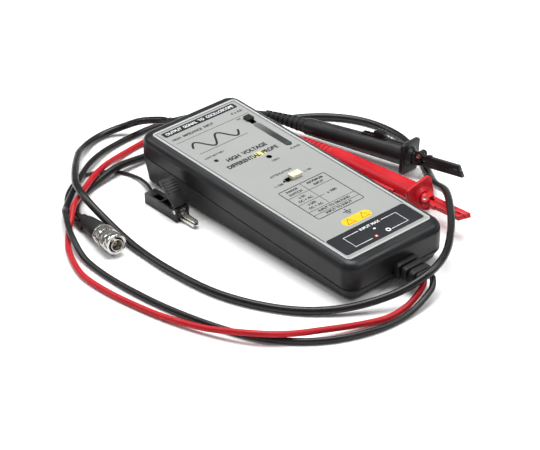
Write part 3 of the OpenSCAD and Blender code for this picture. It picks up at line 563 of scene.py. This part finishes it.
def makeLowerShell(s):
    bm = bmesh.new()
    halfX, halfY, r, w = s["length"] / 2, s["width"] / 2, s["corner"], s["wall"]
    base = s["footHeight"]

    def level(inset, height):
        return roundedLoop(bm, halfX - inset, halfY - inset, r - inset, height, s["cornerSteps"])

    # lip that fits inside the upper shell, then the rim, the tapering side and the rounded bottom edge
    loops = [level(3.5, lambda x: partZ(x) - 2), level(3.5, lambda x: partZ(x) + 1.6),
             level(2.55, lambda x: partZ(x) + 1.6), level(2.5, lambda x: partZ(x) - 0.5),
             level(0.3, lambda x: partZ(x) - 0.5), level(0.08, lambda x: partZ(x) - 0.6),
             level(0, lambda x: partZ(x) - 0.85), level(0.1, lambda x: partZ(x) - 1.6)]
    for k in range(7):
        a = math.pi / 2 * k / 6
        loops.append(level(s["bottomInset"] + s["bottomEdge"] * (1 - math.cos(a)),
                           lambda x, z=base + s["bottomEdge"] * (1 - math.sin(a)): z))
    joinLoops(bm, loops)
    bm.faces.new(loops[-1])
    inner = [loops[0]]
    for k in range(4):
        a = math.pi / 2 * k / 3
        inner.append(level(s["bottomInset"] + w + 2 * (1 - math.cos(a)),
                           lambda x, z=base + 3 + 2 * (1 - math.sin(a)): z))
    joinLoops(bm, inner)
    bm.faces.new(inner[-1])
    bmesh.ops.recalc_face_normals(bm, faces=bm.faces)
    shell = addPiece(bm, "lowerShell", finish["caseLower"])
    boxes = [((-60, 0, 1.8), (70.6, 57.6, 3.6)), ((-63, 0, 4), (59, 54, 8))]
    rounds = [((*p, 2), 3.1, 3.6) for p in s["screws"]] + [((*p, 1.3), 3.0, 2.0) for p in s["feet"]]
    cutBoxes(shell, boxes, rounds)
    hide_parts("bottom_shell")
    return shell


shells = [makeUpperShell(boxSettings), makeLowerShell(boxSettings)]
for shell in shells:
    addModifier(shell, "WEIGHTED_NORMAL", keep_sharp=True, weight=60)
print("shells are made")


# ---- printed panel ----

panelSettings = {"silver": (0.285, 0.295, 0.285), "shade": (0.27, 0.28, 0.27), "border": (0.4, 0.41, 0.41),
                 "glow": (0.62, 0.58, 0.2), "printHeight": 0.16}


# silver paint with a paler margin and a soft yellow patch behind the title
def makePanelFinish(s):
    material, desk, shader = startFinish("panelSilver")
    place = desk.put("TexCoord").outputs["Object"]
    axes = desk.put("SeparateXYZ", {0: place}).outputs
    brush = useEffect(desk, "brush", {"Stretch": (900.0, 900.0, 900.0), "Low": 0.5, "High": 0.6})
    cloud = desk.noise(place, 22.0, 4.0)
    tone = desk.blend(desk.remap(cloud, 0.35, 0.65), rgb(*s["silver"]), rgb(*s["shade"]))
    flake = desk.put("TexVoronoi", {"Vector": place, "Scale": 2600.0}).outputs["Color"]
    sparkle = desk.put("SeparateXYZ", {0: flake}).outputs[0]
    tone = desk.blend(desk.remap(sparkle, 0.6, 1.0, 0.0, 0.15), tone, rgb(0.33, 0.34, 0.33))
    sideX = desk.calc("ABSOLUTE", axes["X"])
    sideY = desk.calc("ABSOLUTE", axes["Y"])
    margin = desk.calc("MAXIMUM", desk.remap(sideX, 0.0915, 0.0917), desk.remap(sideY, 0.0346, 0.0348))
    tone = desk.blend(margin, tone, rgb(*s["border"]))
    glowX = desk.calc("DIVIDE", desk.calc("ADD", axes["X"], 0.0305), 0.0034)
    glowY = desk.calc("DIVIDE", desk.calc("SUBTRACT", axes["Y"], 0.003), 0.008)
    reach = desk.calc("ADD", desk.calc("POWER", glowX, 2.0), desk.calc("POWER", glowY, 2.0))
    tone = desk.blend(desk.remap(reach, 0.2, 1.0, 0.7, 0.0), tone, rgb(*s["glow"]))
    dust = useEffect(desk, "dust", {"Amount": 0.06, "Patch Scale": 40.0})
    colour = desk.blend(dust.outputs["Mask"], tone, rgb(0.36, 0.355, 0.34))
    desk.tree.links.new(colour, shader.inputs["Base Color"])
    desk.tree.links.new(brush.outputs["Roughness"], shader.inputs["Roughness"])
    addBump(desk, shader, brush.outputs["Height"], 0.05, 0.03 * mm)
    setShader(shader, {"Specular IOR Level": 0.2})
    return material


finish["panelSilver"] = makePanelFinish(panelSettings)
for key, colour, drift in [("inkBlack", (0.008, 0.009, 0.012), (0.012, 0.013, 0.016)),
                           ("inkWhite", (0.72, 0.73, 0.73), (0.8, 0.8, 0.8)),
                           ("inkYellow", (0.72, 0.43, 0.006), (0.78, 0.48, 0.012)),
                           ("inkRed", (0.22, 0.01, 0.012), (0.26, 0.015, 0.018)),
                           ("inkGrey", (0.16, 0.165, 0.17), (0.2, 0.205, 0.21))]:
    finish[key] = plasticFinish(key, {"colour": colour, "drift": drift, "grain": 1800.0,
                                      "rough": (0.38, 0.48), "bump": 0.04, "wear": 0.0, "dust": 0.015})


class PrintSheet:
    # flat shapes of one ink on the panel, drawn in millimetres; x runs along the box, y across it

    def __init__(self, name, ink, lift=0.0):
        self.name, self.ink = name, ink
        self.z = panelSettings["printHeight"] + lift
        self.bm = bmesh.new()

    def polygon(self, points):
        self.bm.faces.new([self.bm.verts.new((x, y, self.z)) for x, y in points])

    def bar(self, x0, y0, x1, y1):
        self.polygon([(x0, y0), (x1, y0), (x1, y1), (x0, y1)])

    def outline(self, points, width, closed=True):
        count = len(points)
        rails = []
        for i in range(count):
            here = Vector(points[i])
            before = Vector(points[i - 1]) if closed or i else here
            after = Vector(points[(i + 1) % count]) if closed or i < count - 1 else here
            turn = ((here - before).normalized() + (after - here).normalized()).normalized()
            side = Vector((-turn.y, turn.x)) * width / 2
            rails.append([self.bm.verts.new((*place, self.z)) for place in (here + side, here - side)])
        for i in range(count if closed else count - 1):
            a, b = rails[i], rails[(i + 1) % count]
            self.bm.faces.new((a[0], a[1], b[1], b[0]))

    def rounded(self, x0, y0, x1, y1, radius, width=None):
        points = []
        for quarter, (cx, cy) in enumerate([(x1 - radius, y1 - radius), (x0 + radius, y1 - radius),
                                            (x0 + radius, y0 + radius), (x1 - radius, y0 + radius)]):
            for k in range(7):
                angle = math.pi / 2 * (quarter + k / 6)
                points.append((cx + radius * math.cos(angle), cy + radius * math.sin(angle)))
        self.outline(points, width) if width else self.polygon(points)

    def disc(self, x, y, rx, ry=None, width=None, steps=40):
        ry = ry or rx
        points = [(x + rx * math.cos(2 * math.pi * k / steps), y + ry * math.sin(2 * math.pi * k / steps))
                  for k in range(steps)]
        self.outline(points, width) if width else self.polygon(points)

    # words read along +Y with their tops towards -X
    def words(self, text, x, y, size, align="CENTER", stretch=1.0, weight=0.0):
        curve = bpy.data.curves.new("words", "FONT")
        curve.body, curve.size, curve.align_x, curve.align_y = text, size, align, "CENTER"
        curve.offset = weight
        holder = bpy.data.objects.new("words", curve)
        bpy.context.scene.collection.objects.link(holder)
        bpy.context.view_layer.update()
        mesh = bpy.data.meshes.new_from_object(holder)
        place = Matrix.Translation((x, y, self.z)) @ Matrix.Rotation(math.pi / 2, 4, "Z") @ Matrix.Scale(
            stretch, 4, (1, 0, 0))
        mesh.transform(place)
        self.bm.from_mesh(mesh)
        bpy.data.objects.remove(holder)
        bpy.data.meshes.remove(mesh)

    def finished(self):
        bmesh.ops.recalc_face_normals(self.bm, faces=self.bm.faces)
        for face in self.bm.faces:
            if face.normal.z < 0:
                face.normal_flip()
        self.bm.transform(Matrix.Scale(mm, 4) @ panelLean)
        addPiece(self.bm, self.name, finish[self.ink], smooth=False)


def printPanel():
    black = PrintSheet("panelBlackPrint", "inkBlack")
    black.outline([(69.6, -33.9), (-90.9, -33.9), (-90.9, 33.9), (69.6, 33.9)], 0.55, closed=False)
    black.rounded(-89, -31.4, -83.2, 31, 1.2)
    black.words("HIGH  IMPEDANCE  INPUT", -77.8, -30.5, 3.3, "LEFT", 0.9, 0.1)
    black.words("4 x AA", -78.6, 30.5, 3.3, "RIGHT", 1.0, 0.1)
    black.bar(-73.4, -31, -73.05, 31)
    wave = [(-62 - 5.4 * math.sin(k / 40 * 4 * math.pi), -26 + 38 * k / 40) for k in range(41)]
    black.outline(wave, 1.5, closed=False)
    black.bar(-54.6, -27, -54.2, 14)
    black.words("ATTENUATION", -4.6, -2, 2.6, weight=0.07)
    black.words("1 / 500", 5.6, -13, 2.6, weight=0.1)
    black.words("1 / 50", 3.4, 13.6, 2.6, weight=0.1)
    black.polygon([(2.4, -6.9), (5.2, -8.6), (5.2, -5.2)])
    black.words("LOW BATTERY", -47.6, -20.5, 2.4, weight=0.06)
    black.words("ZERO", -18.6, 6.4, 2.4, weight=0.06)
    black.words("POWER", -22, 26.5, 2.4, weight=0.06)
    black.words("OFF", -70.8, 20.8, 2.0, weight=0.06)
    black.words("HIGH  VOLTAGE", -37.2, -2.2, 5.0, stretch=0.9, weight=0.22)
    black.words("DIFFERENTIAL  PROBE", -30.2, -3, 5.0, stretch=0.86, weight=0.22)
    # range table
    black.rounded(12, -19.6, 49.5, 19.6, 1.2, 0.6)
    for x, y0 in ((21.2, -19.6), (30.6, -19.6), (40.2, -19.6), (45, -19.6)):
        black.bar(x - 0.18, y0, x + 0.18, 3.2 if x == 30.6 else 19.6)
    black.bar(12, -1.6, 40.2, -1.25)
    for text, x, y in (("RANGE", 14.9, -10.4), ("SWITCH", 18.6, -10.4), ("MAXIMUM", 14.9, 9.2),
                       ("INPUT", 18.6, 9.2), ("x 50", 24.1, -10.4), ("DC + AC", 27.8, -10.4),
                       ("x 500", 33.4, -10.4), ("DC + AC", 37.2, -10.4), ("x 1000", 30.6, 9.2),
                       ("INPUT TO GROUND", 42.7, 0), ("INPUT TO INPUT", 47.2, 0)):
        black.words(text, x, y, 2.9, weight=0.1)
    # an earth mark, and two plain triangles on the yellow oval
    for k, half in enumerate((3.2, 2.1, 1.0)):
        black.bar(53.4 + 1.4 * k, 0.4 - half, 54.1 + 1.4 * k, 0.4 + half)
    black.bar(51.2, 0.05, 53.5, 0.75)
    black.rounded(69.6, -33.6, 89.2, 33.6, 2)

    yellow = PrintSheet("panelYellowPrint", "inkYellow", -0.02)
    yellow.rounded(59.2, -12, 66.8, 11.6, 3.75)
    for y in (-6.2, 5.8):
        black.outline([(60.4, y), (65.6, y - 3.2), (65.6, y + 3.2)], 0.7)

    white = PrintSheet("panelWhitePrint", "inkWhite", 0.03)
    white.words("OUTPUT  SIGNAL  TO  OSCILLOSCOPE", -86.1, 0, 3.6, stretch=0.92, weight=0.06)
    for side in (-1, 1):
        white.outline([(74.2, 9.8 * side), (74.2, 22.5 * side), (85.6, 22.5 * side), (85.6, 8.4 * side)],
                      0.45, closed=False)
    white.words("INPUT MAX", 74.2, 0, 3.2, weight=0.06)
    white.disc(84.9, 5.9, 1.35, width=0.9)
    white.disc(78.6, 0, 0.7, 1.0)
    red = PrintSheet("panelRedPrint", "inkRed", 0.03)
    red.disc(85.2, -4.6, 1.15, width=0.8)
    white.disc(85.2, -4.6, 0.7)

    grey = PrintSheet("powerBar", "powerBarInk", -0.01)
    grey.rounded(-60.4, 23.2, -25.6, 28.6, 2.6)
    for sheet in (black, yellow, white, red, grey):
        sheet.finished()


# the bar beside the power switch darkens away from the knob
def makeBarFinish():
    material, desk, shader = startFinish("powerBarInk")
    place = desk.put("TexCoord").outputs["Object"]
    along = desk.put("SeparateXYZ", {0: place}).outputs["X"]
    grain = useEffect(desk, "grain", {"Colour": rgb(0.014, 0.015, 0.018), "Drift": rgb(0.02, 0.021, 0.024),
                                      "Low Gloss": 0.45, "High Gloss": 0.35})
    fade = desk.remap(along, -0.0615, -0.042, 0.75, 0.0)
    colour = desk.blend(fade, grain.outputs["Colour"], rgb(0.16, 0.165, 0.17))
    desk.tree.links.new(colour, shader.inputs["Base Color"])
    desk.tree.links.new(grain.outputs["Roughness"], shader.inputs["Roughness"])
    return material


finish["powerBarInk"] = makeBarFinish()
printPanel()
print("panel is printed")


# ---- the CAD's own pieces: softened edges and a finish each ----

dressing = {
    "front_label": ("panelSilver", 0.12), "battery_door": ("caseLower", 0.25),
    "door_screw": ("zincScrew", 0.12), "case_screws": ("zincScrew", 0.15),
    "rubber_feet": ("rubberBlack", 0.2), "battery_cells": ("cellWrap", 0.4),
    "battery_contacts": ("tinPlate", 0.08), "circuit_board": ("solderMask", 0.1),
    "divider_resistors": ("resistorBlue", 0.1), "shield_can": ("tinPlate", 0.1),
    "amplifier_chips": ("chipEpoxy", 0.08), "power_switch": ("tinPlate", 0.1),
    "range_switch": ("tinPlate", 0.1), "power_knob": ("knobBlack", 0.2), "range_knob": ("knobCream", 0.3),
    "power_led": ("lensGreen", 0.15), "status_led": ("lensRed", 0.15),
    "offset_trimmer": ("resistorBlue", 0.1), "trimmer_rotor": ("brass", 0.08),
    "input_gland": ("rubberBlack", 0.45), "output_gland": ("rubberBlack", 0.3),
    "bnc_boot": ("rubberBlack", 0.25), "bnc_body": ("nickel", 0.15), "bnc_insulator": ("insulator", 0.1),
    "bnc_pin": ("brass", 0.05), "bnc_nut": ("nickel", 0.1), "clip_body": ("clipPlastic", 0.3),
    "clip_jaw": ("tinnedSteel", 0.08), "clip_lever": ("clipPlastic", 0.25),
    "clip_lever_jaw": ("tinnedSteel", 0.08), "clip_pin": ("springSteel", 0.1),
    "red_spring": ("springSteel", 0), "black_spring": ("springSteel", 0),
}
for side, shell, boot in (("red", "probeRed", "bootRed"), ("black", "probeBlack", "rubberBlack")):
    dressing.update({f"{side}_tail_boot": (boot, 0.15), f"{side}_barrel": (shell, 0.4),
                     f"{side}_guard": (shell, 0.5), f"{side}_thumb_slider": (shell, 0.25),
                     f"{side}_nose": (shell, 0.25), f"{side}_jaw": (shell, 0.25),
                     f"{side}_jaw_pin": ("springSteel", 0.1)})


def dressNode(node, finishName, softening):
    obj = nodes[node]
    obj.data.materials.clear()
    obj.data.materials.append(finish[finishName])
    for polygon in obj.data.polygons:
        polygon.use_smooth = True
        polygon.material_index = 0
    if softening:
        addModifier(obj, "WELD", merge_threshold=0.000002)
        addModifier(obj, "DECIMATE", decimate_type="DISSOLVE", angle_limit=math.radians(0.6))
        addModifier(obj, "BEVEL", width=softening * mm, segments=2, limit_method="ANGLE",
                    angle_limit=math.radians(32), harden_normals=True, use_clamp_overlap=True)


for node, (finishName, softening) in dressing.items():
    dressNode(node, finishName, softening)
print("CAD pieces are dressed:", len(dressing))


# ---- floor and light ----

studioSettings = {
    "floorColour": (0.93, 0.93, 0.925), "world": 0.3,
    "lights": [
        {"name": "topSoftbox", "at": (-0.25, 0.15, 1.5), "size": 1.1, "power": 34},
        {"name": "backSoftbox", "at": (0.75, 0.75, 1.1), "size": 0.5, "power": 7},
        {"name": "leftSoftbox", "at": (-0.95, -0.65, 0.95), "size": 0.5, "power": 4},
    ],
}


def makeStudio(s):
    material, desk, shader = startFinish("paleFloor")
    place = desk.put("TexCoord").outputs["Object"]
    cloud = desk.noise(place, 3.0, 2.0)
    colour = desk.blend(desk.remap(cloud, 0.3, 0.7), rgb(*s["floorColour"]), rgb(0.92, 0.92, 0.92))
    desk.tree.links.new(colour, shader.inputs["Base Color"])
    setShader(shader, {"Roughness": 0.9, "Specular IOR Level": 0.1})
    bm = bmesh.new()
    bmesh.ops.create_grid(bm, x_segments=4, y_segments=4, size=4)
    mesh = bpy.data.meshes.new("floor")
    bm.to_mesh(mesh)
    bm.free()
    mesh.materials.append(material)
    floor = bpy.data.objects.new("floor", mesh)
    floor.location.z = -0.0002
    bpy.context.scene.collection.objects.link(floor)
    for light in s["lights"]:
        data = bpy.data.lights.new(light["name"], "AREA")
        data.shape, data.size, data.energy = "SQUARE", light["size"], light["power"]
        lamp = bpy.data.objects.new(light["name"], data)
        lamp.location = light["at"]
        lamp.rotation_euler = (-Vector(light["at"])).to_track_quat("-Z", "Y").to_euler()
        bpy.context.scene.collection.objects.link(lamp)
    world = bpy.data.worlds.new("studio")
    world.use_nodes = True
    world.node_tree.nodes["Background"].inputs["Color"].default_value = rgb(1.0, 1.0, 1.0)
    world.node_tree.nodes["Background"].inputs["Strength"].default_value = s["world"]
    bpy.context.scene.world = world
    bpy.context.scene.view_settings.view_transform = "Standard"


makeStudio(studioSettings)
print("studio is lit")
